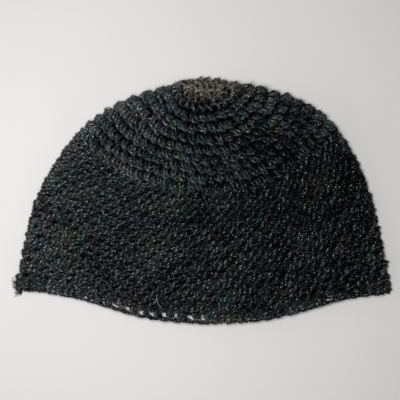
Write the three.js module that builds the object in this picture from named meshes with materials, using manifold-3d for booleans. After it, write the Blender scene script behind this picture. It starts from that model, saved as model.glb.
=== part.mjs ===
// A crocheted skull cap lying on its side, its round crown towards +Y and its open rim towards -Y.
// Millimetres, +Z up. The origin is on the surface that the cap lies on, under the middle of its outline.
//
// The cap is worked in rounds. A round is a closed loop that runs over the front layer, round the left
// fold, back under the cap and round the right fold. Positions across the wall are counted in rounds,
// from 0 at the middle of the crown to LAST_ROUND at the scalloped edge.

import * as THREE from 'three';
import { mergeVertices } from 'three/addons/utils/BufferGeometryUtils.js';
import Module from 'manifold-3d';

// Rounds of each section, counted from the middle of the crown.
const CROWN_ROUNDS = 11;
const WALL_ROUNDS = 31;
const LAST_ROUND = 32.6;

// Thickness of the worked wall and of the ridge that each crown round makes.
const WALL_HALF = 2.5;
const RIDGE_HEIGHT = 1.1;
const CLEARANCE_ROUNDS = 0.035;

// Rim edging: one eyelet for each stitch of the last round.
const EYELETS = 60;
const EYELET_SHARE = 0.55;
const LIP_HALF = 0.9;
const SCALLOP_ROUNDS = 0.14;
const EYELET_ROW = 1;
const EDGING_ROWS = [
  { round: WALL_ROUNDS + 2 * CLEARANCE_ROUNDS, half: 1.6 },
  { round: WALL_ROUNDS + 0.3, half: 1.6 },
  { round: WALL_ROUNDS + 0.95, half: 1.1 },
  { round: WALL_ROUNDS + 1.25, half: 1.9 },
  { round: LAST_ROUND - SCALLOP_ROUNDS, half: LIP_HALF },
];

// The fastened-off yarn end at the left corner: its knot and the tips of its frayed plies.
const KNOT = new THREE.Vector3(-129.6, -65.2, 6.6);
const KNOT_RADIUS = 1.3;
const STRAND_RADIUS = 0.8;
const STRAND_TIP_RADIUS = 0.3;
const STRAND_ARCH = 1;
const STRAND_BEND = 0.5;
const STRAND_TIPS = [
  { x: -132.2, y: -67.6, z: 3.2 },
  { x: -129.8, y: -69.0, z: 2.2 },
  { x: -127.6, y: -68.4, z: 1.4 },
];

// Yarn colours and how rough the yarn looks.
const CROWN_COLOUR = 0x26282a;
const SIDE_COLOUR = 0x1e2022;
const EDGING_COLOUR = 0x1c1e20;
const TAIL_COLOUR = 0x242321;
const WORKED_ROUGHNESS = 0.7;
const FRAYED_ROUGHNESS = 0.8;

// Brings the middle of the outline over the origin.
const ORIGIN_SHIFT = new THREE.Vector2(-0.35, 0.4);

// Facets.
const QUARTER_COLUMNS = 14;
const FOLD_EASING = 1.5;
const TRACE_STEPS = 60;
const NORMAL_REACH = 0.25;
const CROWN_STEPS_PER_ROUND = 3;
const WALL_ROUNDS_PER_STEP = 2;
const STRAND_STEPS = 6;
const STRAND_SIDES = 6;
const KNOT_DETAIL = 1;
const MERGE_DISTANCE = 1e-4;

// How full a round swings between a fold and the middle line, 1.6 being close to an ellipse.
const ROUNDNESS = 1.6;

// The middle line of the front layer drifts sideways from the crown to the rim.
const CENTRE_X = 1;
const RIM_DRIFT = 7;

// How near the swell of a wide round comes to an ellipse, and the fold radius from which a round is wide.
const FULLNESS = 0.6;
const FULL_EDGE = 8;

// The middle of the wall at chosen rounds. left and right are the folds, front and back the middle line
// of the upper and lower layer. edge is the radius of the fold. A lean is the angle, in degrees of an
// ellipse, at which the round leaves the fold seen from above: 0 across the cap, 90 towards the rim.
const COLUMNS = ['round', 'leftX', 'leftY', 'rightX', 'rightY', 'foldZ', 'edge',
  'frontY', 'frontZ', 'frontLean', 'backY', 'backZ', 'backLean'];
const SECTIONS = [
  [0, 1, 74.3, 1, 74.3, 37.7, 0, 74.3, 37.7, 90, 74.3, 37.7, -90],
  [1, -7.7, 74.8, 9.9, 75, 37, 0, 70, 43.7, 90, 77.8, 31, -90],
  [2, -16, 75.9, 18.9, 76.6, 34, 1, 65.3, 48.6, 86, 80.8, 24.3, -80],
  [3, -24.4, 76.4, 27.5, 77.6, 29, 4, 59.9, 51.2, 82, 82.8, 17.5, -60],
  [4, -34.2, 74.4, 36.4, 76.6, 25, 8, 53, 52.3, 80, 82.6, 10.5, -40],
  [5, -44.2, 71.7, 45.2, 74.3, 22, 11, 45.6, 52.3, 79, 79, 5.4, -20],
  [6, -53.5, 67.8, 54.5, 72, 19.5, 13, 38.5, 51.3, 78, 73.2, 3, 0],
  [7, -62, 64, 63.4, 69.4, 17.5, 14, 31.9, 49.3, 75, 66.3, 2.5, 18],
  [9, -75.9, 55.6, 78.1, 62.2, 14.5, 12, 19, 43.9, 70, 51.4, 2.5, 32],
  [11, -87.2, 45.6, 92.6, 49.8, 13, 10.5, 5.5, 37.4, 66, 36.4, 2.5, 38],
  [16, -104.2, 23.2, 106.9, 25.6, 11, 8.5, -15.8, 27, 53, 12.9, 2.5, 34],
  [21, -117.3, -1.8, 117.9, -1.3, 9.5, 7, -37.3, 21, 41, -10.6, 2.5, 25],
  [26, -124.2, -29.5, 124.6, -31, 8.3, 5.8, -59.1, 18, 32, -34, 2.5, 12],
  [31, -130.1, -57.8, 130.5, -60.6, 7.6, 5.1, -80.9, 17, 24, -57.6, 2.5, 0],
  [32.6, -131.2, -63.4, 131.6, -66.2, 7.4, 4.9, -87.1, 16.8, 20, -64, 2.5, 0],
];

/** Gives every column's value at a round, on a smooth curve through the rows of the table. */
function sectionAt(round) {
  const last = SECTIONS.length - 1;
  let low = SECTIONS.findIndex((row) => row[0] > round) - 1;
  if (low < 0) low = last - 1;
  const [before, from, to, after] = [low - 1, low, low + 1, low + 2]
    .map((row) => SECTIONS[THREE.MathUtils.clamp(row, 0, last)]);
  const span = to[0] - from[0];
  const t = (round - from[0]) / span;
  const value = {};
  COLUMNS.forEach((name, column) => {
    const startSlope = (to[column] - before[column]) / (to[0] - before[0]);
    const endSlope = (after[column] - from[column]) / (after[0] - from[0]);
    value[name] = hermite(from[column], to[column], startSlope * span, endSlope * span, t);
  });
  return value;
}

/** Cubic between two values with given slopes at its ends. */
function hermite(start, end, startSlope, endSlope, t) {
  const t2 = t * t;
  const t3 = t2 * t;
  return start * (2 * t3 - 3 * t2 + 1) + startSlope * (t3 - 2 * t2 + t)
    + end * (3 * t2 - 2 * t3) + endSlope * (t3 - t2);
}

/** Height of a quarter circle of radius edge, at a distance in from where it stands upright. */
function quarterCircle(distance, edge) {
  if (distance >= edge) return edge;
  return Math.sqrt(edge * edge - (edge - distance) ** 2);
}

/** Share of the swell's height: small rounds lie in a plane, wide ones swell between sine and ellipse. */
function swellShare(runShare, dropShare, edge) {
  const sine = Math.sin(runShare * Math.PI / 2);
  const wide = THREE.MathUtils.lerp(sine, quarterCircle(runShare, 1), FULLNESS);
  return THREE.MathUtils.lerp(dropShare, wide, Math.min(edge / FULL_EDGE, 1));
}

/** Traces a quarter of a round, from a fold to the middle line: round the fold, then up or down the swell. */
function traceQuarter(fold, centre, leanDegrees, edge) {
  const lean = THREE.MathUtils.degToRad(leanDegrees);
  const across = ROUNDNESS * (centre.x - fold.x);
  const drop = ROUNDNESS * Math.abs(centre.y - fold.y);
  const points = [];
  const run = [0];
  for (let step = 0; step <= TRACE_STEPS; step += 1) {
    const t = 1 - Math.cos((step / TRACE_STEPS) * Math.PI / 2);
    const x = hermite(fold.x, centre.x, across * Math.cos(lean), across, t);
    const y = hermite(fold.y, centre.y, -drop * Math.sin(lean), 0, t);
    points.push(new THREE.Vector3(x, y, 0));
    if (step > 0) run.push(run[step - 1] + points[step].distanceTo(points[step - 1]));
  }
  const side = Math.sign(centre.z - fold.z);
  const swell = centre.z - fold.z - side * edge;
  const length = run[TRACE_STEPS] || 1;
  const fall = centre.y - fold.y || 1;
  points.forEach((point, step) => {
    const share = swellShare(run[step] / length, (point.y - fold.y) / fall, edge);
    point.z = fold.z + side * quarterCircle(run[step], edge) + swell * share;
  });
  return points;
}

/** Picks the point at each share of a traced line's length. */
function pointsAtShares(line, shares) {
  const run = [0];
  for (let i = 1; i < line.length; i += 1) run.push(run[i - 1] + line[i].distanceTo(line[i - 1]));
  const length = run[run.length - 1];
  return shares.map((share) => {
    const goal = share * length;
    let i = run.findIndex((distance) => distance >= goal);
    i = THREE.MathUtils.clamp(i, 1, line.length - 1);
    const step = run[i] - run[i - 1];
    return line[i - 1].clone().lerp(line[i], step > 0 ? (goal - run[i - 1]) / step : 0);
  });
}

/** The four traced quarters of a round: right front, left front, left back, right back. */
function traceRound(round) {
  const at = sectionAt(round);
  const left = new THREE.Vector3(at.leftX, at.leftY, at.foldZ);
  const right = new THREE.Vector3(at.rightX, at.rightY, at.foldZ);
  const frontX = CENTRE_X + RIM_DRIFT * (round / LAST_ROUND) ** 2;
  const front = new THREE.Vector3(frontX, at.frontY, at.frontZ);
  const back = new THREE.Vector3(CENTRE_X, at.backY, at.backZ);
  return [
    traceQuarter(right, front, at.frontLean, at.edge),
    traceQuarter(left, front, at.frontLean, at.edge).reverse(),
    traceQuarter(left, back, at.backLean, at.edge),
    traceQuarter(right, back, at.backLean, at.edge).reverse(),
  ];
}

/** A round as a ring of points that crowd together at the folds. */
function foldedRing(round) {
  const steps = Array.from({ length: QUARTER_COLUMNS }, (_, i) => i / QUARTER_COLUMNS);
  const outward = steps.map((step) => step ** FOLD_EASING);
  const inward = steps.map((step) => 1 - (1 - step) ** FOLD_EASING);
  return traceRound(round).flatMap((quarter, index) => pointsAtShares(quarter, index % 2 ? inward : outward));
}

/** A round as a ring of points at given shares of its whole length. */
function measuredRing(round, shares) {
  const line = traceRound(round).flat();
  return pointsAtShares(line, shares);
}

/** A ring pushed along the wall's normal; cloth stays on or above the surface that it lies on. */
function pushedRing(ringAt, round, height) {
  const ring = ringAt(round);
  const above = ringAt(Math.max(round - NORMAL_REACH, 0));
  const below = ringAt(Math.min(round + NORMAL_REACH, LAST_ROUND));
  return ring.map((point, column) => {
    const next = ring[(column + 1) % ring.length];
    const previous = ring[(column + ring.length - 1) % ring.length];
    const around = next.clone().sub(previous);
    const down = below[column].clone().sub(above[column]);
    const pushed = point.clone().addScaledVector(around.cross(down).normalize(), height);
    pushed.z = Math.max(pushed.z, 0);
    return pushed;
  });
}

/** A list of rounds from start to end in even steps. */
function roundsBetween(start, end, steps) {
  return Array.from({ length: steps + 1 }, (_, i) => start + (end - start) * (i / steps));
}

/** Gathers triangles of Vector3 corners into a geometry. */
class Shell {
  constructor() {
    this.corners = [];
  }

  triangle(a, b, c) {
    for (const corner of [a, b, c]) this.corners.push(corner.x, corner.y, corner.z);
  }

  quad(a, b, c, d) {
    this.triangle(a, b, c);
    this.triangle(a, c, d);
  }

  /** Joins two rings of equal length; the face looks outwards when upper is nearer the crown's middle. */
  strip(upper, lower) {
    upper.forEach((_, i) => {
      const next = (i + 1) % upper.length;
      this.quad(upper[i], upper[next], lower[next], lower[i]);
    });
  }

  /** A strip whose quads are split the other way, so that an end face matches the one it faces. */
  facingStrip(upper, lower) {
    upper.forEach((_, i) => {
      const next = (i + 1) % upper.length;
      this.quad(upper[next], lower[next], lower[i], upper[i]);
    });
  }

  strips(rings) {
    for (let row = 1; row < rings.length; row += 1) this.strip(rings[row - 1], rings[row]);
  }

  fan(tip, ring) {
    ring.forEach((_, i) => this.triangle(tip, ring[(i + 1) % ring.length], ring[i]));
  }

  geometry() {
    const geometry = new THREE.BufferGeometry();
    geometry.setAttribute('position', new THREE.Float32BufferAttribute(this.corners, 3));
    geometry.computeVertexNormals();
    return geometry;
  }
}

/** Mean of a ring's points. */
function middleOf(ring) {
  const sum = ring.reduce((total, point) => total.add(point), new THREE.Vector3());
  return sum.divideScalar(ring.length);
}

/** The crown: a hollow dome whose outer face carries one rounded ridge for each round. */
function crownGeometry() {
  const end = CROWN_ROUNDS - CLEARANCE_ROUNDS;
  const firstRound = 1 / CROWN_STEPS_PER_ROUND;
  const outerRounds = roundsBetween(firstRound, end, CROWN_ROUNDS * CROWN_STEPS_PER_ROUND - 1);
  const innerRounds = roundsBetween(1, end, CROWN_ROUNDS - 1);
  const ridge = (round) => WALL_HALF + RIDGE_HEIGHT * (2 * Math.abs(Math.sin(Math.PI * round)) - 1);
  const outer = outerRounds.map((round) => pushedRing(foldedRing, round, ridge(round)));
  const inner = innerRounds.map((round) => pushedRing(foldedRing, round, -WALL_HALF)).reverse();
  const innermost = inner[inner.length - 1];
  const shell = new Shell();
  shell.fan(middleOf(outer[0]), outer[0]);
  shell.strips(outer);
  shell.strip(outer[outer.length - 1], inner[0]);
  shell.strips(inner);
  shell.fan(middleOf(innermost), [...innermost].reverse());
  return shell.geometry();
}

/** The side wall: an open sleeve of even thickness between the crown and the rim edging. */
function wallGeometry() {
  const steps = (WALL_ROUNDS - CROWN_ROUNDS) / WALL_ROUNDS_PER_STEP;
  const rounds = roundsBetween(CROWN_ROUNDS + CLEARANCE_ROUNDS, WALL_ROUNDS, steps);
  const outer = rounds.map((round) => pushedRing(foldedRing, round, WALL_HALF));
  const inner = rounds.map((round) => pushedRing(foldedRing, round, -WALL_HALF)).reverse();
  const shell = new Shell();
  shell.strips(outer);
  shell.strip(outer[outer.length - 1], inner[0]);
  shell.strips(inner);
  shell.facingStrip(inner[inner.length - 1], outer[0]);
  return shell.geometry();
}

/** The rim edging: a rail, a row of posts with an eyelet after each, and a scalloped chain below. */
function edgingGeometry() {
  const shares = [];
  for (let eyelet = 0; eyelet < EYELETS; eyelet += 1) {
    shares.push(eyelet / EYELETS, (eyelet + 1 - EYELET_SHARE) / EYELETS);
  }
  const ringAt = (round) => measuredRing(round, shares);
  const face = (side) => {
    const rings = EDGING_ROWS.map((row) => pushedRing(ringAt, row.round, side * row.half));
    const deepest = pushedRing(ringAt, LAST_ROUND, side * LIP_HALF);
    const lip = rings.length - 1;
    rings[lip] = rings[lip].map((point, column) => (column % 2 ? point : deepest[column]));
    return rings;
  };
  const outer = face(1);
  const inner = face(-1);
  const lip = EDGING_ROWS.length - 1;
  const shell = new Shell();
  for (let row = 0; row < lip; row += 1) {
    for (let column = 0; column < shares.length; column += 1) {
      const next = (column + 1) % shares.length;
      const below = row + 1;
      if (row === EYELET_ROW && column % 2 === 1) {
        shell.quad(outer[row][column], outer[row][next], inner[row][next], inner[row][column]);
        shell.quad(outer[below][next], outer[below][column], inner[below][column], inner[below][next]);
        shell.quad(outer[below][column], outer[row][column], inner[row][column], inner[below][column]);
        shell.quad(outer[row][next], outer[below][next], inner[below][next], inner[row][next]);
      } else {
        shell.quad(outer[row][column], outer[row][next], outer[below][next], outer[below][column]);
        shell.quad(inner[below][column], inner[below][next], inner[row][next], inner[row][column]);
      }
    }
  }
  shell.strip(outer[lip], inner[lip]);
  shell.strip(inner[0], outer[0]);
  return shell.geometry();
}

/** A tapering strand along a curve, closed at both ends. */
function strandGeometry(curve) {
  const frames = curve.computeFrenetFrames(STRAND_STEPS);
  const shell = new Shell();
  const rings = Array.from({ length: STRAND_STEPS + 1 }, (_, step) => {
    const share = step / STRAND_STEPS;
    const radius = THREE.MathUtils.lerp(STRAND_RADIUS, STRAND_TIP_RADIUS, share);
    const centre = curve.getPoint(share);
    return Array.from({ length: STRAND_SIDES }, (__, side) => {
      const angle = (side / STRAND_SIDES) * 2 * Math.PI;
      return centre.clone()
        .addScaledVector(frames.normals[step], radius * Math.cos(angle))
        .addScaledVector(frames.binormals[step], radius * Math.sin(angle));
    });
  });
  shell.fan(middleOf(rings[0]), rings[0]);
  shell.strips(rings);
  const last = rings[STRAND_STEPS];
  shell.fan(middleOf(last), [...last].reverse());
  return shell.geometry();
}

/** A closed geometry as a solid that can be joined to others. */
function toSolid(geometry) {
  const bare = geometry.clone();
  bare.deleteAttribute('normal');
  bare.deleteAttribute('uv');
  const merged = mergeVertices(bare, MERGE_DISTANCE);
  return new wasm.Manifold(new wasm.Mesh({
    numProp: 3,
    vertProperties: merged.attributes.position.array,
    triVerts: new Uint32Array(merged.index.array),
  }));
}

/** A solid's surface as a geometry. */
function fromSolid(solid) {
  const mesh = solid.getMesh();
  const geometry = new THREE.BufferGeometry();
  geometry.setAttribute('position', new THREE.BufferAttribute(mesh.vertProperties, 3));
  geometry.setIndex(new THREE.BufferAttribute(mesh.triVerts, 1));
  geometry.computeVertexNormals();
  return geometry;
}

/** The fastened-off yarn end: a knot under the left corner of the rim, with its frayed plies below it. */
function tailGeometry() {
  const knot = new THREE.IcosahedronGeometry(KNOT_RADIUS, KNOT_DETAIL);
  knot.translate(KNOT.x, KNOT.y, KNOT.z);
  const solids = STRAND_TIPS.map((tip) => {
    const end = new THREE.Vector3(tip.x, tip.y, tip.z);
    const bend = KNOT.clone().lerp(end, STRAND_BEND);
    bend.z += STRAND_ARCH;
    return toSolid(strandGeometry(new THREE.QuadraticBezierCurve3(KNOT, bend, end)));
  });
  return fromSolid(solids.reduce((joined, solid) => joined.add(solid), toSolid(knot)));
}

/** Wraps a geometry in a named mesh with its own yarn material. */
function piece(name, geometry, colour, roughness) {
  const material = new THREE.MeshStandardMaterial({ color: colour, roughness, metalness: 0 });
  const mesh = new THREE.Mesh(geometry, material);
  mesh.name = name;
  return mesh;
}

const wasm = await Module();
wasm.setup();

const group = new THREE.Group();
group.position.set(ORIGIN_SHIFT.x, ORIGIN_SHIFT.y, 0);
group.add(piece('crown', crownGeometry(), CROWN_COLOUR, WORKED_ROUGHNESS));
group.add(piece('side_wall', wallGeometry(), SIDE_COLOUR, WORKED_ROUGHNESS));
group.add(piece('rim_edging', edgingGeometry(), EDGING_COLOUR, WORKED_ROUGHNESS));
group.add(piece('yarn_tail', tailGeometry(), TAIL_COLOUR, FRAYED_ROUGHNESS));

export default group;
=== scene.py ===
from collections import namedtuple

import bpy
import numpy as np
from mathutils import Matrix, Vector


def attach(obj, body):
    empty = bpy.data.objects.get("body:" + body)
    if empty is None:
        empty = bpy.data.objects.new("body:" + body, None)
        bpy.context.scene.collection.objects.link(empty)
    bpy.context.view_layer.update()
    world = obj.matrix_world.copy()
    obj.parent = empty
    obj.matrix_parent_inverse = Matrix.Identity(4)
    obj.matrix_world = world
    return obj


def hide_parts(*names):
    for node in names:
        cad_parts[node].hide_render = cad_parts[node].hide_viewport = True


# A black crocheted skull cap lying on its side on a pale table, seen from straight above.
# It is made of its yarn: every round is one closed strand that runs through all of its stitches.
# Lengths are in millimetres until a mesh is made, which is in metres.

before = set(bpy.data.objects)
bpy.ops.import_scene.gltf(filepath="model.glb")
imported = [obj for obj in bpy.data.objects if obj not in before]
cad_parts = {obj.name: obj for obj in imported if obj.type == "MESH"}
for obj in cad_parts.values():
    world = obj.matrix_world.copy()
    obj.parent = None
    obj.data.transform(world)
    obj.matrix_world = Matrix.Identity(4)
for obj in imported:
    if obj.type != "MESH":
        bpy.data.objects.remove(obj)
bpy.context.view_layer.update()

MM = 0.001
SMALLEST_LENGTH = 1e-12
FACE_CORNERS = 4
UPWARDS = np.array([0.0, 0.0, 1.0])
RANDOM_SEED = 7
random = np.random.default_rng(RANDOM_SEED)

# Rounds of each section, counted from the middle of the crown to the edge. The first ones are the crown's
# button.
BUTTON_ROUNDS = 3
CROWN_ROUNDS = 11
WALL_ROUNDS = 31
LAST_ROUND = 32.6
SIDE_BANDS = ((12, 18), (19, 25), (26, 31))
HALF_ROUND = 0.5

# Stitches. A round of the crown takes as many as fit it, and the sides and the edging have a fixed number of
# repeats.
BUTTON_STITCH_WIDTH = 5.2
CROWN_STITCH_WIDTH = 6.2
CROWN_ROUND_DEPTH = 6.9
FEWEST_STITCHES = 6
SIDE_REPEATS = 72
SIDE_REPEAT_WIDTH = 7.4
SIDE_ROUND_DEPTH = 4.4
EDGE_REPEATS = 60
EDGE_REPEAT_WIDTH = 8.9
EDGE_ROUND_DEPTH = 3.9
HALF_REPEAT = 0.5

# Yarn of three plies. It is thicker where the rounds lie further apart, up to a limit.
BUTTON_YARN_RADIUS = 0.88
CROWN_YARN_RADIUS = 0.72
LOOP_YARN_RADIUS = 0.85
SIDE_YARN_RADIUS = 0.76
EDGE_YARN_RADIUS = 0.62
MOST_GROWTH = 1.4
PLIES = 3
YARN_SIDES = 2 * PLIES
PLY_RELIEF = 0.3
TWIST_LENGTH = 6.5

# A strand has this many points for each place of a stitch. Its pattern starts at a length of its own, which
# is at most the one below.
STRAND_STEPS = 2
STRAND_START = 5000.0

# Directions that are tried, to find the one that the strand of a stitch stays clear of.
DIRECTION_CHOICES = 400
GOLDEN_ANGLE = np.pi * (3 - np.sqrt(5))

# How far a stitch strays: along its round in stitches, across it in rounds and out of it in millimetres.
# Each place in the stitch strays by a share of that beside it.
BUTTON_SLACK = np.array([0.04, 0.03, 0.15])
CROWN_SLACK = np.array([0.08, 0.05, 0.3])
SIDE_SLACK = np.array([0.055, 0.085, 0.32])
EDGE_SLACK = np.array([0.06, 0.07, 0.25])
PLACE_STRAY = 0.8

# Stitches run from left to right over the front, against the shares of a round's length.
RUN_SIGNS = np.array([-1, 1, 1])

# Brings the middle of the outline over the origin, as the solids are, and keeps the yarn off the table.
ORIGIN_SHIFT = np.array([-0.35, 0.4, 0.0])
FLOOR_CLEARANCE = 0.2

# How full a round swings between a fold and the middle line, seen from above, and how full its height is:
# from 0, a sine, to 1, an ellipse. That holds from a full radius of the fold on. The middle line drifts
# to the right over the front on its way to the rim.
ROUNDNESS = 1.6
FULLNESS = 0.6
FULL_EDGE = 8.0
CENTRE_X = 1.0
RIM_DRIFT = 7.0
TRACE_STEPS = 60

# The grid that stands for the middle of the wall.
FIRST_ROUND = 0.05
ROUND_STEP = 0.1
ROW_MARGIN = 0.001
SHARE_STEPS = 720

# Slow waves round the cap, as turns, drift for each round, start and size: the rounds stray by some, in
# rounds, and the wall is lumpy by others, in millimetres. They are calm near the middle of the crown.
STRAY_WAVES = ((3, 0.4, 0.0, 0.09), (7, -0.7, 1.3, 0.06), (13, 0.9, 2.1, 0.04))
LUMP_WAVES = ((4, 0.25, 0.5, 0.35), (9, -0.4, 2.0, 0.3), (17, 0.6, 4.0, 0.2))
CALM_ROUNDS = 4

# The middle of the wall at chosen rounds, as the solids have it. left and right are the folds, front and
# back the middle line of the upper and lower layer, edge the radius of the fold, and a lean the angle at
# which the round leaves the fold seen from above.
COLUMNS = ("round", "left_x", "left_y", "right_x", "right_y", "fold_z", "edge",
           "front_y", "front_z", "front_lean", "back_y", "back_z", "back_lean")
SECTIONS = np.array([
    (0, 1, 74.3, 1, 74.3, 37.7, 0, 74.3, 37.7, 90, 74.3, 37.7, -90),
    (1, -7.7, 74.8, 9.9, 75, 37, 0, 70, 43.7, 90, 77.8, 31, -90),
    (2, -16, 75.9, 18.9, 76.6, 34, 1, 65.3, 48.6, 86, 80.8, 24.3, -80),
    (3, -24.4, 76.4, 27.5, 77.6, 29, 4, 59.9, 51.2, 82, 82.8, 17.5, -60),
    (4, -34.2, 74.4, 36.4, 76.6, 25, 8, 53, 52.3, 80, 82.6, 10.5, -40),
    (5, -44.2, 71.7, 45.2, 74.3, 22, 11, 45.6, 52.3, 79, 79, 5.4, -20),
    (6, -53.5, 67.8, 54.5, 72, 19.5, 13, 38.5, 51.3, 78, 73.2, 3, 0),
    (7, -62, 64, 63.4, 69.4, 17.5, 14, 31.9, 49.3, 75, 66.3, 2.5, 18),
    (9, -75.9, 55.6, 78.1, 62.2, 14.5, 12, 19, 43.9, 70, 51.4, 2.5, 32),
    (11, -87.2, 45.6, 92.6, 49.8, 13, 10.5, 5.5, 37.4, 66, 36.4, 2.5, 38),
    (16, -104.2, 23.2, 106.9, 25.6, 11, 8.5, -15.8, 27, 53, 12.9, 2.5, 34),
    (21, -117.3, -1.8, 117.9, -1.3, 9.5, 7, -37.3, 21, 41, -10.6, 2.5, 25),
    (26, -124.2, -29.5, 124.6, -31, 8.3, 5.8, -59.1, 18, 32, -34, 2.5, 12),
    (31, -130.1, -57.8, 130.5, -60.6, 7.6, 5.1, -80.9, 17, 24, -57.6, 2.5, 0),
    (32.6, -131.2, -63.4, 131.6, -66.2, 7.4, 4.9, -87.1, 16.8, 20, -64, 2.5, 0),
])

# Stitches as the places that their strand runs through: along in stitches, across in rounds, which is 0 at
# the side of the round next to the rim and -1 at the other, and height in millimetres out of the wall.
# A stitch of the button has one upright leg.
BUTTON_LEG = np.array([
    (0.00, -0.92, -0.30),
    (0.10, -0.80, 1.60),
    (0.24, -0.60, 2.90),
    (0.38, -0.36, 2.90),
    (0.50, -0.18, 1.40),
    (0.62, -0.34, -1.30),
    (0.82, -0.74, -1.60),
])

# Any other crown stitch has two slanted legs side by side.
CROWN_LEGS = np.array([
    (0.03, -0.92, -0.30),
    (0.09, -0.80, 1.70),
    (0.20, -0.61, 3.10),
    (0.32, -0.46, 3.10),
    (0.41, -0.34, 1.40),
    (0.38, -0.50, -0.90),
    (0.36, -0.76, -1.10),
    (0.41, -0.92, -0.30),
    (0.47, -0.80, 1.30),
    (0.58, -0.61, 2.40),
    (0.70, -0.46, 2.40),
    (0.79, -0.34, 1.00),
    (0.86, -0.50, -0.90),
    (0.96, -0.76, -1.10),
])

# The loop left standing in front of each of those.
CROWN_LOOP = np.array([
    (0.00, -0.37, 0.20),
    (0.16, -0.35, 1.60),
    (0.42, -0.28, 2.60),
    (0.68, -0.19, 2.20),
    (0.86, -0.10, 0.80),
    (0.90, -0.19, -0.50),
    (0.94, -0.31, -0.60),
])

# One repeat of the sides: a stitch of a lower and an upper leg, then a chain, all leaning to the right.
SIDE_STITCH = np.array([
    (0.02, -0.12, 0.10),
    (0.13, -0.28, 1.60),
    (0.28, -0.51, 1.90),
    (0.42, -0.72, 0.60),
    (0.30, -0.78, -1.10),
    (0.06, -0.62, -0.60),
    (0.09, -0.68, 1.45),
    (0.24, -0.90, 2.60),
    (0.40, -1.12, 1.80),
    (0.52, -1.07, -0.70),
    (0.52, -0.57, -1.20),
    (0.57, -0.32, -0.60),
    (0.67, -0.52, -0.25),
    (0.80, -0.82, -0.35),
    (0.94, -0.84, -1.10),
    (0.98, -0.34, -0.80),
])

# The edging: a last round of side stitches. Where an eyelet stands open the stitch is squeezed into a post,
# which leaves a share of the repeat free. Above it runs one strand, and below it a chain of two: each has
# its start in turns, its level in rounds past the sides and how far it hangs down below an eyelet.
EDGE_TOP = 32.3
EDGE_STRETCH = 1.25
EDGE_OFFSET = -0.45
EDGE_STRANDS = ((0.0, 1.27, 0.22), (0.5, 1.27, 0.22), (0.2, 0.08, 0.0))
EDGE_CHAIN_SWING = 0.11
EDGE_CHAIN_HEIGHT = 0.75
EDGE_CHAIN_TWISTS = 2
EDGE_CHAIN_POINTS = 8

# Eyelets: where their middle lies in a repeat, which of them stand open, counted in repeats, and the least
# and the most that one leaves free.
EYELET_MIDDLE = 0.3
OPEN_EYELETS = (*range(37, 46), 54, 55, 57, 58)
EYELET_SHARES = (0.44, 0.66)

# The inner side of the stitches: how deep its face and its back lie below the middle of the wall, the size
# of its bumps, its columns, four to a repeat of the edging, and the tones of its face and back, which are
# painted shade: darker than the stitches over them, and deep black at the back.
INSIDE_DEPTH = 2.6
INSIDE_BACK = 1.9
INSIDE_RIDGE = 0.3
INSIDE_BUMP = 0.3
INSIDE_COLUMNS = 4 * EDGE_REPEATS
INSIDE_STEP = 0.25
INSIDE_SHADE = 0.3
INSIDE_BACK_SHADE = -1.0

# The fastened-off yarn end at the left corner of the rim: a knot and its frayed plies. Radii go from the
# root of a ply or fibre to its tip.
KNOT = np.array([-129.6, -65.2, 6.6])
KNOT_RADIUS = 0.75
KNOT_YARN_RADIUS = 0.42
KNOT_POINTS = 48
KNOT_TONE = 0.6
TAIL_TIPS = np.array([
    (-133.2, -53.8, 7.5),
    (-134.6, -55.6, 6.5),
    (-135.2, -57.5, 6.0),
    (-134.8, -59.5, 5.0),
    (-134.2, -65.5, 3.0),
    (-133.8, -66.8, 2.0),
])
TAIL_PLIES = 36
TAIL_SPREAD = 0.9
TAIL_ARCH = 1.0
TAIL_RADII = (0.2, 0.06)
TAIL_POINTS = 7
TAIL_CLEARANCE = 0.6

# Loose fibres all over the yarn. They lean any way, but rather out of the wall than into it.
FUZZ_FIBRES = 1800
FUZZ_LENGTHS = (1.5, 4.5)
FUZZ_RADII = (0.07, 0.03)
FUZZ_POINTS = 4
FUZZ_HEIGHT = 1.8
FUZZ_LIFT = np.array([0.0, 0.0, 0.8])
FUZZ_CURL = 0.5

# One pale fibre that lies on the front near the rim, from one round and share to another.
STRAY_ROUNDS = (28.3, 30.2)
STRAY_SHARES = (0.3155, 0.3095)
STRAY_BOW = 1.5
STRAY_RADII = (0.3, 0.3)
STRAY_POINTS = 12
STRAY_HEIGHT = 4.7

# All fibres and plies: sides, tones, and a direction that hardly any of them runs in.
FIBRE_SIDES = 4
FIBRE_TONES = (0.3, 1.0)
FIBRE_REFERENCE = np.array([0.31, 0.52, 0.8])

# Tone of the yarn from 0 to 1, partly random and partly painted shade: its middle and the height that has it,
# how much stitches and places in them differ at random, and painted shade: the gain with each millimetre of
# height, and the loss from the outer side of a strand to its flanks.
TONE_MIDDLE = 0.64
TONE_LEVEL = 1
TONE_STITCH = 0.3
TONE_PLACE = 0.35
SHADE_PER_HEIGHT = 0.22
SHADE_TO_FLANKS = 0.3

# Names by which the yarn's look finds the tone, and the length along the yarn and turns round it.
TONE_NAME = "tone"
YARN_MAP = "yarn"

# Colours of the yarns, from the painted shade deep in the stitches to their raised parts, and the paler,
# browner colour at the middle of the crown. Each has the strength of its specks and of its tinted patches.
BLACK_RAISED = (0.033, 0.043, 0.0485, 1)
PALE_RAISED = (0.27, 0.275, 0.27, 1)
BLACK_YARN = {
    "Deep": (0.0008, 0.0012, 0.0016, 1),
    "Raised": BLACK_RAISED,
    "Crown Middle": BLACK_RAISED,
    "Specks": 6.5,
    "Tint": 0.85,
}
CROWN_YARN = {
    **BLACK_YARN,
    "Raised": (0.041, 0.053, 0.0605, 1),
    "Crown Middle": (0.16, 0.147, 0.106, 1),
    "Specks": 4.0,
}
PALE_YARN = {
    **BLACK_YARN,
    "Deep": (0.12, 0.125, 0.125, 1),
    "Raised": PALE_RAISED,
    "Crown Middle": PALE_RAISED,
    "Tint": 0.0,
}

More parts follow.
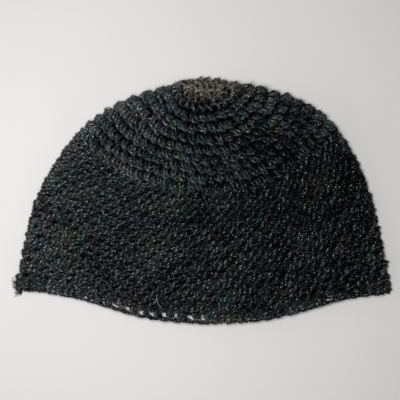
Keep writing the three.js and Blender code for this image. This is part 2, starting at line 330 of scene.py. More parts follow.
# What is the same all over every yarn.
YARN_FINISH = {
    "Roughness": 0.6,
    "Coat Roughness": 0.37,
    "Coat IOR": 1.85,
    "Specular IOR Level": 0.02,
    "Specular Tint": (0.82, 0.96, 1.0, 1),
    "Sheen Weight": 0.01,
    "Sheen Roughness": 0.4,
}

# What the look of the yarns takes and gives.
LOOK_SOCKETS = (
    ("Deep", "INPUT", "Color"),
    ("Raised", "INPUT", "Color"),
    ("Crown Middle", "INPUT", "Color"),
    ("Specks", "INPUT", "Float"),
    ("Tint", "INPUT", "Float"),
    ("Color", "OUTPUT", "Color"),
    ("Shine", "OUTPUT", "Float"),
    ("Height", "OUTPUT", "Float"),
)

# Sockets by which a Mix node mixes colours.
MIX_FACTOR = 0
MIX_FIRST = 6
MIX_SECOND = 7
MIX_RESULT = 2

# Plies, fibres and specks of the yarn: the colour is darker between the plies, a painted shade, and the
# specks are partly painted glints. Scales are per metre along it and per turn round it.
PLY_SHADE = 0.28
PLY_HEIGHT = 0.8
FIBRE_SCALE = (900.0, 9.0, 1.0)
FIBRE_DETAIL = 3.0
# The specks lighten and darken the colour at random, and partly stand for painted glints.
SPECK_SCALE = (620.0, 3.5, 1.0)
SPECK_DETAIL = 1.0
SPECK_MIDDLE = 0.5
PLAIN_SCALE = 1.0
SHINE_RANGE = (0.55, 1.2)
BUMP_DEPTH = 0.0003
BUMP_STRENGTH = 0.8

# Marks over the cap: places and radii in metres, scales per metre. A painted shade makes the yarn darkest
# round one place on the right and paler further from it, as if lit from the left; slow random clouds make it
# lighter, coloured patches tint it, and the middle of the crown is paler and browner.
BROWN_MIDDLE = (0.003, 0.082, 0.028)
BROWN_RADII = (0.012, 0.031)
PAINTED_SHADE_MIDDLE = (0.08, 0.005, 0.02)
PAINTED_SHADE_RADII = (0.02, 0.18)
PAINTED_SHADE_TONES = (-0.86, 0.02)
CLOUD_SCALE = 40.0
CLOUD_DETAIL = 1.0
CLOUD_GAIN = 1.1
TINT_SCALE = 65.0
TINT_DETAIL = 1.0
TINT_GAINS = (1.7, 1.3, 1.8)
TINT_SHIFTS = (0.19, 0.40, -0.02)
LEAST_TINT = (0.15, 0.15, 0.15)
PATCH_SCALE = 45.0
PATCH_DETAIL = 0.0
PATCH_RANGE = (0.42, 0.62)
NONE_TO_ALL = (0.0, 1.0)
ALL_TO_NONE = (1.0, 0.0)

# Table, lights and camera, in metres and watts. The lights are round.
FLOOR_REACH = 3.0
FLOOR_FINISH = {"Base Color": (0.8, 0.79, 0.775, 1), "Roughness": 0.8}
SKY_FINISH = {"Color": (0.97, 0.985, 1.0, 1), "Strength": 0.12}
LIGHTS = (
    # name, place, aim, size, spread in degrees, watts
    ("window", (-0.50, 0.05, 0.55), (0.0, 0.0, 0.0), 0.7, 180, 0.45),
    ("lamp", (-0.06, 0.02, 1.10), (-0.12, 0.02, 0.0), 0.22, 70, 1.45),
    ("front", (-0.05, -0.60, 0.30), (0.0, -0.06, 0.0), 0.4, 180, 0.4),
)
CAMERA_PLACE = (-0.0025, 0.00076, 1.5)
FRAME_WIDTH = 0.2852
SENSOR_WIDTH = 36

# A stitch has its places, the depth of its round, its slack, the radius of its yarn and a direction that its
# strand stays clear of. A strand has its places and, at each, that direction, the one out of the wall, the
# tone and the radius. A surface has its corners, its faces, their places on the yarn and the corners' tone.
Stitch = namedtuple("Stitch", "places depth slack radius clear")
Strand = namedtuple("Strand", "places reference out tone radius")
Surface = namedtuple("Surface", "corners faces uv tone")


def cubic_between(start, end, start_slope, end_slope, t):
    """Cubic between two values with given slopes at its ends, at t from 0 to 1."""
    return (start * (2 * t**3 - 3 * t**2 + 1) + start_slope * (t**3 - 2 * t**2 + t)
            + end * (3 * t**2 - 2 * t**3) + end_slope * (t**3 - t**2))


def unit(vectors):
    """Vectors of length one."""
    return vectors / np.maximum(np.linalg.norm(vectors, axis=-1, keepdims=True), SMALLEST_LENGTH)


def run_so_far(steps):
    """Length from the start of each line to each of its points, from the lengths of its steps."""
    return np.concatenate([np.zeros((len(steps), 1)), np.cumsum(steps, axis=1)], axis=1)


def sections_at(rounds):
    """Every column at the given rounds: a cubic through the rows, a row's slope being its neighbours'."""
    last = len(SECTIONS) - 1
    low = np.clip(np.searchsorted(SECTIONS[:, 0], rounds, side="right") - 1, 0, last - 1)
    before, start, end, after = (SECTIONS[np.clip(low + step, 0, last)] for step in (-1, 0, 1, 2))
    span = end[:, :1] - start[:, :1]
    t = (rounds[:, None] - start[:, :1]) / span
    start_slope = (end - before) / (end[:, :1] - before[:, :1]) * span
    end_slope = (after - start) / (after[:, :1] - start[:, :1]) * span
    values = cubic_between(start, end, start_slope, end_slope, t)
    return {name: values[:, column, None] for column, name in enumerate(COLUMNS)}


def quarter_circle(distance, edge):
    """Height of a quarter circle of radius edge, at a distance in from where it stands upright."""
    inside = np.minimum(distance, edge)
    return np.sqrt(np.maximum(edge**2 - (edge - inside) ** 2, 0))


def trace_from_above(fold, centre, lean):
    """A quarter of each round from its fold to its middle line, seen from above: a cubic that leaves the fold
    at its lean and arrives level."""
    t = 1 - np.cos(np.linspace(0, np.pi / 2, TRACE_STEPS + 1))
    angle = np.radians(lean)
    reach = ROUNDNESS * (centre[0] - fold[0])
    drop = ROUNDNESS * np.abs(centre[1] - fold[1])
    x = cubic_between(fold[0], centre[0], reach * np.cos(angle), reach, t)
    y = cubic_between(fold[1], centre[1], -drop * np.sin(angle), 0, t)
    return x, y


def trace_height(run, y, fold, centre, edge):
    """Height of that quarter: it climbs a quarter circle at the fold, and then a swell between a sine and an
    ellipse. The narrower the fold is, the more the swell goes with y instead."""
    _, fold_y, fold_z = fold
    _, centre_y, centre_z = centre
    run_share = run / run[:, -1:]
    wide = (1 - FULLNESS) * np.sin(run_share * np.pi / 2) + FULLNESS * quarter_circle(run_share, 1)
    fall = np.where(centre_y == fold_y, 1, centre_y - fold_y)
    width = np.minimum(edge / FULL_EDGE, 1)
    swell = (1 - width) * (y - fold_y) / fall + width * wide
    side = np.sign(centre_z - fold_z)
    return fold_z + side * quarter_circle(run, edge) + (centre_z - fold_z - side * edge) * swell


def trace_quarter(fold, centre, lean, edge):
    """A quarter of each round from its fold to its middle line: as seen from above, with its height."""
    x, y = trace_from_above(fold, centre, lean)
    run = run_so_far(np.hypot(np.diff(x), np.diff(y)))
    return np.stack([x, y, trace_height(run, y, fold, centre, edge)], axis=-1)


def traced_rounds(rounds):
    """Each round as a closed line from the right fold over the front, the left fold and the back."""
    at = sections_at(rounds)
    left = (at["left_x"], at["left_y"], at["fold_z"])
    right = (at["right_x"], at["right_y"], at["fold_z"])
    drift = RIM_DRIFT * (rounds[:, None] / LAST_ROUND) ** 2
    front = (CENTRE_X + drift, at["front_y"], at["front_z"])
    back = (np.full_like(drift, CENTRE_X), at["back_y"], at["back_z"])
    return np.concatenate([
        trace_quarter(right, front, at["front_lean"], at["edge"]),
        trace_quarter(left, front, at["front_lean"], at["edge"])[:, ::-1],
        trace_quarter(left, back, at["back_lean"], at["edge"]),
        trace_quarter(right, back, at["back_lean"], at["edge"])[:, ::-1],
    ], axis=1)


def make_wall_grid():
    """Places, steps along and across the rounds, and outward normals over the whole wall: rows are rounds
    and columns equal shares of a round's length. A step across is one round long. The length of each row
    comes with them."""
    rounds = np.arange(FIRST_ROUND, LAST_ROUND + ROUND_STEP / 2, ROUND_STEP)
    lines = traced_rounds(rounds)
    run = run_so_far(np.linalg.norm(np.diff(lines, axis=1), axis=-1))
    shares = np.arange(SHARE_STEPS) / SHARE_STEPS
    places = np.stack([
        [np.interp(shares * length[-1], length, line[:, axis]) for axis in range(3)]
        for length, line in zip(run, lines)
    ]).transpose(0, 2, 1)
    along = unit(np.roll(places, -1, axis=1) - np.roll(places, 1, axis=1))
    across = np.gradient(places, ROUND_STEP, axis=0)
    normal = unit(np.cross(along, across))
    return np.stack([places, along, across, normal], axis=2), run[:, -1]


# Worked out once, for all the yarn that lies on the wall.
WALL_GRID, ROUND_LENGTHS = make_wall_grid()


def waves(table, rounds, shares):
    """Sum of slow waves round the cap, which turn from round to round and calm down towards the middle."""
    calm = np.minimum(rounds / CALM_ROUNDS, 1)
    return calm * sum(
        size * np.sin(2 * np.pi * turns * shares + drift * rounds + start)
        for turns, drift, start, size in table)


def wall_at(rounds, shares):
    """The wall's place, along, across and normal at any rounds and shares, from the grid's four nearest."""
    row = np.clip((rounds - FIRST_ROUND) / ROUND_STEP, 0, len(WALL_GRID) - 1 - ROW_MARGIN)
    column = (shares % 1) * SHARE_STEPS
    row_low = np.floor(row).astype(int)
    column_low = np.floor(column).astype(int) % SHARE_STEPS
    column_high = (column_low + 1) % SHARE_STEPS
    down = (row - row_low)[..., None, None]
    over = (column - np.floor(column))[..., None, None]
    upper, lower = (
        WALL_GRID[grid_row, column_low] * (1 - over) + WALL_GRID[grid_row, column_high] * over
        for grid_row in (row_low, row_low + 1))
    return upper * (1 - down) + lower * down


def on_wall(rounds, shares, heights):
    """Places at a height over the wall, with its slow waves, and the wall's directions and the depth of a
    round there."""
    rounds = np.maximum(rounds, FIRST_ROUND)
    at = wall_at(rounds + waves(STRAY_WAVES, rounds, shares), shares)
    lift = heights + waves(LUMP_WAVES, rounds, shares)
    directions = unit(at[..., 1:, :])
    places = at[..., 0, :] + directions[..., 2, :] * lift[..., None]
    return places, directions, np.linalg.norm(at[..., 2, :], axis=-1)


def heading(directions, amounts):
    """The direction made up of so much along, across and out of the wall."""
    return unit(np.sum(directions * amounts[..., None], axis=-2))


def smooth_line(controls, lap):
    """Points on cubics through the controls of a line that goes on in the same way a lap further. The slope
    at a control is that between its neighbours."""
    ring = np.concatenate([controls[-1:] - lap, controls, controls[:2] + lap])
    before, start, end, after = ring[:-3], ring[1:-2], ring[2:-1], ring[3:]
    t = (np.arange(STRAND_STEPS) / STRAND_STEPS)[:, None, None]
    points = cubic_between(start, end, (end - before) / 2, (after - start) / 2, t)
    return points.transpose(1, 0, 2).reshape(-1, controls.shape[1])


def clear_direction(places, width, depth):
    """The direction along, across and out that a stitch's strand stays furthest from: the best of many
    spread evenly over a half ball, each a golden angle on from the last."""
    next_stitch = np.array([1.0, 0, 0])
    line = smooth_line(places, next_stitch)
    steps = np.diff(np.concatenate([line, line[:1] + next_stitch]), axis=0) * [width, depth, 1]
    number = np.arange(DIRECTION_CHOICES)
    out = (number + 0.5) / DIRECTION_CHOICES
    turn = number * GOLDEN_ANGLE
    flat = np.sqrt(1 - out**2)
    choices = np.stack([flat * np.cos(turn), flat * np.sin(turn), out], axis=1)
    nearness = np.abs(unit(steps) @ choices.T).max(axis=0)
    return choices[np.argmin(nearness)]


def make_stitch(places, width, depth, slack, radius):
    """A stitch with its slack, the radius of its yarn and the direction that its strand stays clear of."""
    return Stitch(places, depth, slack, radius, clear_direction(places, width, depth))


def repeated(stitch, stitches, offset):
    """A stitch side by side as often as a round takes it, from an offset in stitches."""
    controls = np.tile(stitch.places, (stitches, 1, 1))
    controls[..., 0] += np.arange(stitches)[:, None] + offset
    return controls


def strayed(controls, slack):
    """The controls of a round, each stitch and each place in it a little out of place."""
    stitches, count = controls.shape[:2]
    stitch_stray = random.normal(0, 1, (stitches, 1, 3))
    place_stray = random.normal(0, 1, (stitches, count, 3))
    return controls + slack * (stitch_stray + PLACE_STRAY * place_stray)


def control_tones(controls):
    """Tones with painted shade, lighter on top, that also differ at random from stitch to stitch and from
    place to place.
    """
    stitches, count = controls.shape[:2]
    # Painted shade: the tone grows with the height of a place.
    return (TONE_MIDDLE + SHADE_PER_HEIGHT * (controls[..., 2] - TONE_LEVEL)
            + TONE_STITCH * random.uniform(-1, 1, (stitches, 1))
            + TONE_PLACE * random.uniform(-1, 1, (stitches, count)))


def round_of(stitch, top_round, controls):
    """The yarn of one round through the controls of its stitches, from left to right over the front. It is
    thicker where the rounds lie further apart."""
    stitches, count = controls.shape[:2]
    places = strayed(controls, stitch.slack)
    tone = control_tones(controls)
    knots = np.concatenate([places, tone[..., None]], axis=-1).reshape(stitches * count, -1)
    line = smooth_line(knots, np.array([stitches, 0, 0, 0]))
    places, directions, depth = on_wall(top_round + line[:, 1], -line[:, 0] / stitches, line[:, 2])
    reference = heading(directions, stitch.clear * RUN_SIGNS)
    radius = stitch.radius * np.clip(depth / stitch.depth, 1, MOST_GROWTH)
    return yarn_surface(Strand(places, reference, directions[:, 2], line[:, 3], radius))


def yarn_rings(strand, length):
    """Rings across a closed strand, as steps from its places: their corners stand high and low in turn, a
    high one for each ply, and wind round the strand as it goes on."""
    places = strand.places
    tangent = unit(np.roll(places, -1, axis=0) - np.roll(places, 1, axis=0))
    side = unit(strand.reference - tangent * np.sum(strand.reference * tangent, axis=1, keepdims=True))
    up = np.cross(tangent, side)
    turns = max(round(length[-1] / TWIST_LENGTH), 1)
    twist = 2 * np.pi * turns * length[:-1] / length[-1]
    corner = np.arange(YARN_SIDES)
    angle = 2 * np.pi * corner / YARN_SIDES + twist[:, None]
    reach = strand.radius[:, None] * (1 + PLY_RELIEF * (-1.0) ** corner)
    return (side[:, None] * (np.cos(angle) * reach)[..., None]
            + up[:, None] * (np.sin(angle) * reach)[..., None])


def yarn_map(length):
    """Where the corners of each face lie on the yarn: metres along it, from a start of the strand's own, and
    turns round it."""
    corner = np.arange(YARN_SIDES)
    along = np.stack([length[:-1], length[:-1], length[1:], length[1:]], axis=1)[:, None, :]
    around = np.stack([corner, corner + 1, corner + 1, corner], axis=1)[None] / YARN_SIDES
    start = random.uniform(0, STRAND_START)
    return np.stack(np.broadcast_arrays((start + along) * MM, around), axis=-1).reshape(-1, 2)


def yarn_surface(strand):
    """Plied yarn along a closed strand: rings carried along its places. The tone falls off from the outer
    side of the yarn to the inner one, a painted shade on its flanks."""
    places = strand.places
    step = np.linalg.norm(np.roll(places, -1, axis=0) - places, axis=1)
    length = np.concatenate([[0], np.cumsum(step)])
    rings = yarn_rings(strand, length)
    corners = (places[:, None] + rings).reshape(-1, 3)
    rise = np.sum(rings * strand.out[:, None], axis=-1) / strand.radius[:, None]
    # Painted shade: the tone falls off towards the flanks and the inner side of the strand.
    tone = np.clip(strand.tone[:, None] + SHADE_TO_FLANKS * (rise - 1), 0, 1)
    faces = grid_faces(len(places), YARN_SIDES, True, True)
    return Surface(corners, faces, yarn_map(length), tone.ravel())


def grid_faces(rows, columns, rows_close, columns_close):
    """Four-cornered faces between the rows and columns of a grid, closed on itself either way or not."""
    row = np.arange(rows if rows_close else rows - 1)[:, None]
    column = np.arange(columns if columns_close else columns - 1)[None]
    next_row = (row + 1) % rows
    next_column = (column + 1) % columns
    return np.stack([
        row * columns + column, row * columns + next_column,
        next_row * columns + next_column, next_row * columns + column,
    ], axis=-1).reshape(-1, FACE_CORNERS)


def fibre_surface(paths, radii):
    """Many thin fibres at once, as four-sided tubes along rows of places, each thinner from its root to its
    tip and closed by a face at either end."""
    count, points = paths.shape[:2]
    tangent = unit(np.gradient(paths, axis=1))
    side = unit(np.cross(tangent, FIBRE_REFERENCE))
    up = np.cross(tangent, side)
    radius = np.linspace(*radii, points)[:, None, None]
    ring = np.stack([side, up, -side, -up], axis=2) * radius
    corners = (paths[:, :, None] + ring).reshape(-1, 3)
    first = np.arange(count)[:, None] * points * FIBRE_SIDES
    sleeve = grid_faces(points, FIBRE_SIDES, False, True)[None] + first[..., None]
    root = first + np.arange(FIBRE_SIDES)[::-1]
    tip = first + (points - 1) * FIBRE_SIDES + np.arange(FIBRE_SIDES)
    faces = np.concatenate([sleeve.reshape(-1, FACE_CORNERS), root, tip])
    around = 1 / FIBRE_SIDES
    uv = np.tile(np.array([(0, 0), (0, around), (MM, around), (MM, 0)]), (len(faces), 1))
    tone = np.repeat(random.uniform(*FIBRE_TONES, count), points * FIBRE_SIDES)
    return Surface(corners, faces, uv, tone)


def joined(surfaces):
    """Several surfaces as one."""
    starts = np.cumsum([0] + [len(surface.corners) for surface in surfaces[:-1]])
    return Surface(
        np.concatenate([surface.corners for surface in surfaces]),
        np.concatenate([surface.faces + start for surface, start in zip(surfaces, starts)]),
        np.concatenate([surface.uv for surface in surfaces]),
        np.concatenate([surface.tone for surface in surfaces]))


def make_mesh(name, surface):
    """A smooth mesh from a surface, in metres over the table."""
    places = surface.corners + ORIGIN_SHIFT
    places[:, 2] = np.maximum(places[:, 2], FLOOR_CLEARANCE)
    faces = surface.faces
    mesh = bpy.data.meshes.new(name)
    mesh.vertices.add(len(places))
    mesh.vertices.foreach_set("co", (places * MM).astype(np.float32).ravel())
    mesh.loops.add(faces.size)
    mesh.loops.foreach_set("vertex_index", faces.astype(np.int32).ravel())
    mesh.polygons.add(len(faces))
    mesh.polygons.foreach_set("loop_start", np.arange(0, faces.size, FACE_CORNERS, dtype=np.int32))
    mesh.polygons.foreach_set("use_smooth", np.ones(len(faces), bool))
    mesh.uv_layers.new(name=YARN_MAP).data.foreach_set("uv", surface.uv.astype(np.float32).ravel())
    tone = mesh.attributes.new(TONE_NAME, "FLOAT", "POINT")
    tone.data.foreach_set("value", surface.tone.astype(np.float32))
    mesh.update(calc_edges=True)
    return mesh


def make_piece(name, surface, material, node):
    """A piece from a surface, which stands for a node of the solids."""
    mesh = make_mesh(name, surface)
    mesh.materials.append(material)
    piece = bpy.data.objects.new(name, mesh)
    bpy.context.scene.collection.objects.link(piece)
    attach(piece, "root")
    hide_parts(node)


def stitches_round(number, width):
    """How many stitches of a width fit a round, by its length at the middle of its depth."""
    row = int((number - HALF_ROUND - FIRST_ROUND) / ROUND_STEP)
    return max(round(ROUND_LENGTHS[row] / width), FEWEST_STITCHES)


def make_crown(material):
    """The crown's rounds: the upright legs of its button, then slanted legs and the loops that stand in front
    of them."""
    upright = make_stitch(
        BUTTON_LEG, BUTTON_STITCH_WIDTH, CROWN_ROUND_DEPTH, BUTTON_SLACK, BUTTON_YARN_RADIUS)
    slanted = make_stitch(CROWN_LEGS, CROWN_STITCH_WIDTH, CROWN_ROUND_DEPTH, CROWN_SLACK, CROWN_YARN_RADIUS)
    loop = make_stitch(CROWN_LOOP, CROWN_STITCH_WIDTH, CROWN_ROUND_DEPTH, CROWN_SLACK, LOOP_YARN_RADIUS)
    legs = []
    loops = []
    for number in range(1, BUTTON_ROUNDS + 1):
        stitches = stitches_round(number, BUTTON_STITCH_WIDTH)
        offset = random.uniform()
        legs.append(round_of(upright, number, repeated(upright, stitches, offset)))
    for number in range(BUTTON_ROUNDS + 1, CROWN_ROUNDS + 1):
        stitches = stitches_round(number, CROWN_STITCH_WIDTH)
        offset = random.uniform()
        legs.append(round_of(slanted, number, repeated(slanted, stitches, offset)))
        loops.append(round_of(loop, number, repeated(loop, stitches, offset)))
    make_piece("crown_legs", joined(legs), material, "crown")
    make_piece("crown_loops", joined(loops), material, "crown")
    make_piece("crown_inside", inside_surface(FIRST_ROUND, CROWN_ROUNDS), material, "crown")


def make_sides(stitch, material):
    """The sides' rounds in bands, every other round half a repeat on."""
    for band, (first, last) in enumerate(SIDE_BANDS, start=1):
        rounds = []
        for number in range(first, last + 1):
            controls = repeated(stitch, SIDE_REPEATS, HALF_REPEAT * (number % 2))
            rounds.append(round_of(stitch, number, controls))
        make_piece(f"side_stitches_{band}", joined(rounds), material, "side_wall")
    inside = inside_surface(CROWN_ROUNDS, WALL_ROUNDS)
    make_piece("side_inside", inside, material, "side_wall")


def inside_surface(first, last):
    """The inner side of the stitches from one round to another, as a closed profile of rounds and heights
    carried round the cap: out along a plain back, and in along a face with a ridge for each round and a
    bump for each stitch, a cosine either way. Its tone is painted shade: dark, lighter on the ridges and
    bumps, and deepest on the back."""
    out_rounds = np.arange(first, last, 1.0)
    in_rounds = np.arange(last, first - INSIDE_STEP / 2, -INSIDE_STEP)
    rounds = np.concatenate([out_rounds, in_rounds])[:, None]
    shares = (np.arange(INSIDE_COLUMNS) / INSIDE_COLUMNS)[None]
    is_back = np.arange(len(rounds))[:, None] < len(out_rounds)
    ridge = INSIDE_RIDGE * np.cos(2 * np.pi * rounds)
    bump = INSIDE_BUMP * np.cos(2 * np.pi * (EDGE_REPEATS * shares + HALF_REPEAT * rounds))
    heights = np.where(is_back, -INSIDE_BACK, -INSIDE_DEPTH + ridge + bump)
    # Painted shade: the face darker than the stitches and lighter on its ridges and bumps, the back deepest.
    tone = np.where(is_back, INSIDE_BACK_SHADE, INSIDE_SHADE + ridge + bump)
    rounds, shares, heights = np.broadcast_arrays(rounds, shares, heights)
    places = on_wall(rounds, shares, heights)[0]
    faces = grid_faces(*rounds.shape, True, True)
    uv = np.stack([shares.ravel()[faces], rounds.ravel()[faces]], axis=-1).reshape(-1, 2)
    return Surface(places.reshape(-1, 3), faces, uv, tone.ravel())


def chain_places(start, level, hang):
    """One strand of the edge's chain over a repeat: a helix round the chain's middle line, which hangs down
    below the eyelet as a squared cosine."""
    along = np.arange(EDGE_CHAIN_POINTS) / EDGE_CHAIN_POINTS
    turn = 2 * np.pi * (EDGE_CHAIN_TWISTS * along + start)
    middle = level + hang * np.cos(np.pi * (along - EYELET_MIDDLE)) ** 2
    across = middle + EDGE_CHAIN_SWING * np.cos(turn)
    return np.stack([along, across, EDGE_CHAIN_HEIGHT * np.sin(turn)], axis=1)


def make_edging(stitch, material):
    """The last round of stitches over a chain of two strands. A second round of them, half a repeat on,
    closes the eyelets. Beside an open eyelet both are squeezed into the same post."""
    is_open = np.isin(np.arange(EDGE_REPEATS), OPEN_EYELETS)
    free = np.where(is_open, random.uniform(*EYELET_SHARES, EDGE_REPEATS), 0)[:, None]
    surfaces = []
    for shift in (0.0, HALF_REPEAT):
        offset = EDGE_OFFSET + np.where(is_open, 0.0, shift)[:, None]
        controls = repeated(stitch, EDGE_REPEATS, offset)
        controls[..., 0] += free * (1 - stitch.places[:, 0])
        controls[..., 1] *= EDGE_STRETCH
        surfaces.append(round_of(stitch, EDGE_TOP, controls))
    for strand in EDGE_STRANDS:
        places = chain_places(*strand)
        chain = make_stitch(places, EDGE_REPEAT_WIDTH, EDGE_ROUND_DEPTH, EDGE_SLACK, EDGE_YARN_RADIUS)
        surfaces.append(round_of(chain, WALL_ROUNDS, repeated(chain, EDGE_REPEATS, EDGE_OFFSET)))
    make_piece("edging_stitches", joined(surfaces), material, "rim_edging")


def knot_surface():
    """The knot at the root of the yarn end: yarn along a trefoil, which turns once and twice at a time seen
    from above and rises and falls three times."""
    turn = 2 * np.pi * np.arange(KNOT_POINTS) / KNOT_POINTS
    trefoil = np.stack([
        np.sin(turn) + 2 * np.sin(2 * turn),
        np.cos(turn) - 2 * np.cos(2 * turn),
        -2 * np.sin(3 * turn),
    ], axis=1) / 2
    places = KNOT + KNOT_RADIUS * trefoil
    reference = np.broadcast_to(unit(FIBRE_REFERENCE), places.shape)
    out = np.broadcast_to(UPWARDS, places.shape)
    tone = np.full(KNOT_POINTS, KNOT_TONE)
    radius = np.full(KNOT_POINTS, KNOT_YARN_RADIUS)
    return yarn_surface(Strand(places, reference, out, tone, radius))


def frayed_plies():
    """Plies that fray out from the knot: straight lines to their tips with a bow of half a sine, which arches
    up."""
    t = np.linspace(0, 1, TAIL_POINTS)[None, :, None]
    tips = TAIL_TIPS[np.arange(TAIL_PLIES) % len(TAIL_TIPS)]
    tips = tips + random.normal(0, TAIL_SPREAD, (TAIL_PLIES, 3))
    tips[:, 2] = np.maximum(tips[:, 2], TAIL_CLEARANCE)
    bow = random.normal(0, TAIL_SPREAD, (TAIL_PLIES, 1, 3)) + TAIL_ARCH * UPWARDS
    paths = KNOT * (1 - t) + tips[:, None] * t + bow * np.sin(np.pi * t)
    return fibre_surface(paths, TAIL_RADII)


def make_tail(material):
    """The yarn end: a knot and its frayed plies."""
    tail = joined([knot_surface(), frayed_plies()])
    make_piece("tail_plies", tail, material, "yarn_tail")


def make_fuzz(material):
    """Short fibres that stand off the yarn: each leaves the wall on a slant and curls over as a parabola."""
    rounds = random.uniform(1, WALL_ROUNDS, FUZZ_FIBRES)
    shares = random.uniform(0, 1, FUZZ_FIBRES)
    roots, directions, _ = on_wall(rounds, shares, np.full(FUZZ_FIBRES, FUZZ_HEIGHT))
    slant = heading(directions, random.normal(0, 1, (FUZZ_FIBRES, 3)) + FUZZ_LIFT)
    curl = heading(directions, random.normal(0, 1, (FUZZ_FIBRES, 3)))
    length = random.uniform(*FUZZ_LENGTHS, (FUZZ_FIBRES, 1, 1))
    t = np.linspace(0, 1, FUZZ_POINTS)[None, :, None]
    paths = roots[:, None] + length * (slant[:, None] * t + FUZZ_CURL * curl[:, None] * t**2)
    make_piece("loose_fibres", fibre_surface(paths, FUZZ_RADII), material, "side_wall")


def make_stray_fibre(material):
    """One pale fibre that lies on the front near the rim: even in rounds, and in shares a power, which gives
    it a slight bow."""
    t = np.linspace(0, 1, STRAY_POINTS)
    rounds = STRAY_ROUNDS[0] + (STRAY_ROUNDS[1] - STRAY_ROUNDS[0]) * t
    shares = STRAY_SHARES[0] + (STRAY_SHARES[1] - STRAY_SHARES[0]) * t**STRAY_BOW
    path = on_wall(rounds, shares, np.full(STRAY_POINTS, STRAY_HEIGHT))[0]
    fibre = fibre_surface(path[None], STRAY_RADII)
    make_piece("stray_fibre", fibre, material, "side_wall")


def set_inputs(tree, node, inputs):
    """Sets each input of a shader node to a value, or links it to a socket."""
    for name, value in inputs.items():
        if isinstance(value, bpy.types.NodeSocket):
            tree.links.new(value, node.inputs[name])
        else:
            node.inputs[name].default_value = value


def add_node(tree, kind, inputs, **settings):
    """A new shader node with its settings and inputs."""
    node = tree.nodes.new("ShaderNode" + kind)
    for name, value in settings.items():
        setattr(node, name, value)
    set_inputs(tree, node, inputs)
    return node


def mix_colours(tree, factor, first, second, blend="MIX"):
    """The colour between two others, or their blend."""
    inputs = {MIX_FACTOR: factor, MIX_FIRST: first, MIX_SECOND: second}
    return add_node(tree, "Mix", inputs, data_type="RGBA", blend_type=blend).outputs[MIX_RESULT]


def calculate(tree, operation, *terms):
    """The result of one sum on values."""
    return add_node(tree, "Math", dict(enumerate(terms)), operation=operation).outputs[0]


def vector_sum(tree, operation, *terms):
    """The result of one sum on vectors."""
    return add_node(tree, "VectorMath", dict(enumerate(terms)), operation=operation).outputs[0]


def noise(tree, place, scale, detail, output="Fac"):
    """A soft noise at a scale."""
    inputs = {"Vector": place, "Scale": scale, "Detail": detail}
    return add_node(tree, "TexNoise", inputs).outputs[output]


def yarn_noise(tree, on_yarn, scale, detail):
    """A soft noise that is drawn out along the yarn."""
    return noise(tree, vector_sum(tree, "MULTIPLY", on_yarn, scale), PLAIN_SCALE, detail)


def ramp(tree, value, from_range, to_range):
    """A value carried from one range to another, and kept inside it."""
    inputs = {"Value": value, "From Min": from_range[0], "From Max": from_range[1],
              "To Min": to_range[0], "To Max": to_range[1]}
    return add_node(tree, "MapRange", inputs).outputs[0]


def ramp_from(tree, place, middle, radii, to_range):
    """A value that goes through a range between two radii from a middle."""
    distance = add_node(tree, "VectorMath", {0: place, 1: middle}, operation="DISTANCE").outputs["Value"]
    return ramp(tree, distance, radii, to_range)


def ply_ridges(tree, on_yarn):
    """A cosine round the yarn, with a ridge for each ply."""
    around = add_node(tree, "SeparateXYZ", {0: on_yarn}).outputs["Y"]
    return calculate(tree, "COSINE", calculate(tree, "MULTIPLY", around, 2 * np.pi * PLIES))


def yarn_lightness(tree, place, on_yarn, ply, strength):
    """How light the yarn is: the sum of its tone, which holds painted shade, a painted shade that is darkest
    round one place and lighter further from it, slow random clouds, specks along it that are partly painted
    glints, and its plies, a painted shade between them."""
    tone = add_node(tree, "Attribute", {}, attribute_name=TONE_NAME).outputs["Fac"]
    # Painted shade: darkest round one place on the right, lighter towards the left.
    side_shaded = calculate(tree, "ADD", tone, ramp_from(tree, place, PAINTED_SHADE_MIDDLE, PAINTED_SHADE_RADII, PAINTED_SHADE_TONES))
    cloud = noise(tree, place, CLOUD_SCALE, CLOUD_DETAIL)
    clouded = calculate(tree, "MULTIPLY_ADD", cloud, CLOUD_GAIN, side_shaded)
    # Specks that lighten and darken the colour at random, partly painted glints on the plies.
    speck = yarn_noise(tree, on_yarn, SPECK_SCALE, SPECK_DETAIL)
    specks = calculate(tree, "MULTIPLY", calculate(tree, "SUBTRACT", speck, SPECK_MIDDLE), strength)
    flecked = calculate(tree, "ADD", clouded, specks)
    # Painted shade: lighter on the plies and darker between them.
    return calculate(tree, "ADD", flecked, calculate(tree, "MULTIPLY", ply, PLY_SHADE))


def tinted(tree, place, colour, amount, crown_middle):
    """A colour multiplied by a slow coloured noise, in patches that keep off the paler, browner middle of the
    crown.
    """
    hues = noise(tree, place, TINT_SCALE, TINT_DETAIL, "Color")
    tints = vector_sum(tree, "MULTIPLY_ADD", hues, TINT_GAINS, TINT_SHIFTS)
    tints = vector_sum(tree, "MAXIMUM", tints, LEAST_TINT)
    patches = ramp(tree, noise(tree, place, PATCH_SCALE, PATCH_DETAIL), PATCH_RANGE, NONE_TO_ALL)
    patches = calculate(tree, "MULTIPLY", patches, calculate(tree, "SUBTRACT", 1.0, crown_middle))
    share = calculate(tree, "MULTIPLY", amount, patches)
    return mix_colours(tree, share, colour, tints, "MULTIPLY")


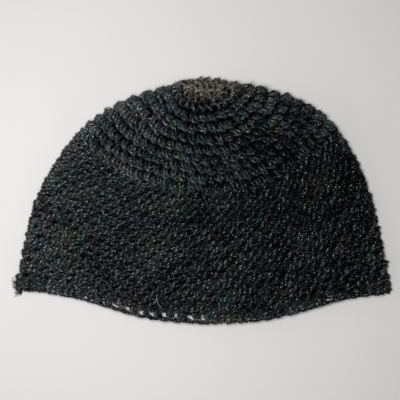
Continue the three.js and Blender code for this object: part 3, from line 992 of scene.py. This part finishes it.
def make_plied_look():
    """Node group for plied yarn. Its colour goes from deep to raised, or to the paler, browner colour at the
    middle of the crown, with its lightness, which holds painted shade and painted glints, and has tinted
    patches. It shines where it is light. Its height is its plies and its fibres, a noise drawn out along it."""
    group = bpy.data.node_groups.new("plied_yarn", "ShaderNodeTree")
    for name, way, kind in LOOK_SOCKETS:
        group.interface.new_socket(name, in_out=way, socket_type="NodeSocket" + kind)
    given = group.nodes.new("NodeGroupInput").outputs
    place = add_node(group, "TexCoord", {}).outputs["Object"]
    on_yarn = add_node(group, "UVMap", {}, uv_map=YARN_MAP).outputs["UV"]
    ply = ply_ridges(group, on_yarn)
    lightness = yarn_lightness(group, place, on_yarn, ply, given["Specks"])
    crown_middle = ramp_from(group, place, BROWN_MIDDLE, BROWN_RADII, ALL_TO_NONE)
    raised = mix_colours(group, crown_middle, given["Raised"], given["Crown Middle"])
    colour = mix_colours(group, lightness, given["Deep"], raised)
    fibres = yarn_noise(group, on_yarn, FIBRE_SCALE, FIBRE_DETAIL)
    set_inputs(group, group.nodes.new("NodeGroupOutput"), {
        "Color": tinted(group, place, colour, given["Tint"], crown_middle),
        "Shine": ramp(group, lightness, SHINE_RANGE, NONE_TO_ALL),
        "Height": calculate(group, "ADD", calculate(group, "MULTIPLY", ply, PLY_HEIGHT), fibres),
    })
    return group


def make_yarn(name, look, colours):
    """A yarn in its own colours."""
    material = bpy.data.materials.new(name)
    material.use_nodes = True
    tree = material.node_tree
    yarn = add_node(tree, "Group", colours, node_tree=look)
    bump = add_node(tree, "Bump", {
        "Height": yarn.outputs["Height"], "Distance": BUMP_DEPTH, "Strength": BUMP_STRENGTH})
    shader = tree.nodes["Principled BSDF"]
    set_inputs(tree, shader, YARN_FINISH)
    set_inputs(tree, shader, {
        "Base Color": yarn.outputs["Color"],
        "Coat Weight": yarn.outputs["Shine"],
        "Normal": bump.outputs["Normal"],
    })
    return material


def make_floor():
    """The pale table: one wide square."""
    reach = FLOOR_REACH
    mesh = bpy.data.meshes.new("floor")
    corners = [(-reach, -reach, 0), (reach, -reach, 0), (reach, reach, 0), (-reach, reach, 0)]
    mesh.from_pydata(corners, [], [(0, 1, 2, 3)])
    material = bpy.data.materials.new("floor_paper")
    material.use_nodes = True
    tree = material.node_tree
    set_inputs(tree, tree.nodes["Principled BSDF"], FLOOR_FINISH)
    mesh.materials.append(material)
    floor = bpy.data.objects.new("floor", mesh)
    bpy.context.scene.collection.objects.link(floor)


def make_sky():
    """A pale sky all round."""
    scene = bpy.context.scene
    scene.view_settings.view_transform = "Standard"
    scene.world = bpy.data.worlds.new("sky")
    scene.world.use_nodes = True
    tree = scene.world.node_tree
    set_inputs(tree, tree.nodes["Background"], SKY_FINISH)


def make_lights():
    """Soft round lights, each turned to its aim."""
    for name, place, aim, size, spread, watts in LIGHTS:
        lamp = bpy.data.lights.new(name, "AREA")
        lamp.shape = "DISK"
        lamp.size = size
        lamp.spread = np.radians(spread)
        lamp.energy = watts
        light = bpy.data.objects.new(name, lamp)
        light.location = place
        light.rotation_euler = (Vector(place) - Vector(aim)).to_track_quat("Z", "Y").to_euler()
        light.visible_camera = False
        bpy.context.scene.collection.objects.link(light)


def make_camera():
    """The camera straight above the cap, its frame a given width at the table."""
    lens = bpy.data.cameras.new("camera")
    lens.sensor_width = SENSOR_WIDTH
    lens.lens = SENSOR_WIDTH * CAMERA_PLACE[2] / FRAME_WIDTH
    camera = bpy.data.objects.new("camera", lens)
    camera.location = CAMERA_PLACE
    bpy.context.scene.collection.objects.link(camera)
    bpy.context.scene.camera = camera


# The yarns.
plied_look = make_plied_look()
crown_yarn = make_yarn("crown_yarn", plied_look, CROWN_YARN)
side_yarn = make_yarn("side_yarn", plied_look, BLACK_YARN)
edging_yarn = make_yarn("edging_yarn", plied_look, BLACK_YARN)
pale_fibre = make_yarn("pale_fibre", plied_look, PALE_YARN)

# The cap, from its middle to its edge, with the fibres on it. The edging's stitches are the sides' own.
side_stitch = make_stitch(SIDE_STITCH, SIDE_REPEAT_WIDTH, SIDE_ROUND_DEPTH, SIDE_SLACK, SIDE_YARN_RADIUS)
make_crown(crown_yarn)
make_sides(side_stitch, side_yarn)
make_edging(side_stitch, edging_yarn)
make_tail(edging_yarn)
make_fuzz(side_yarn)
make_stray_fibre(pale_fibre)

# The table, the lights and the camera.
make_floor()
make_sky()
make_lights()
make_camera()
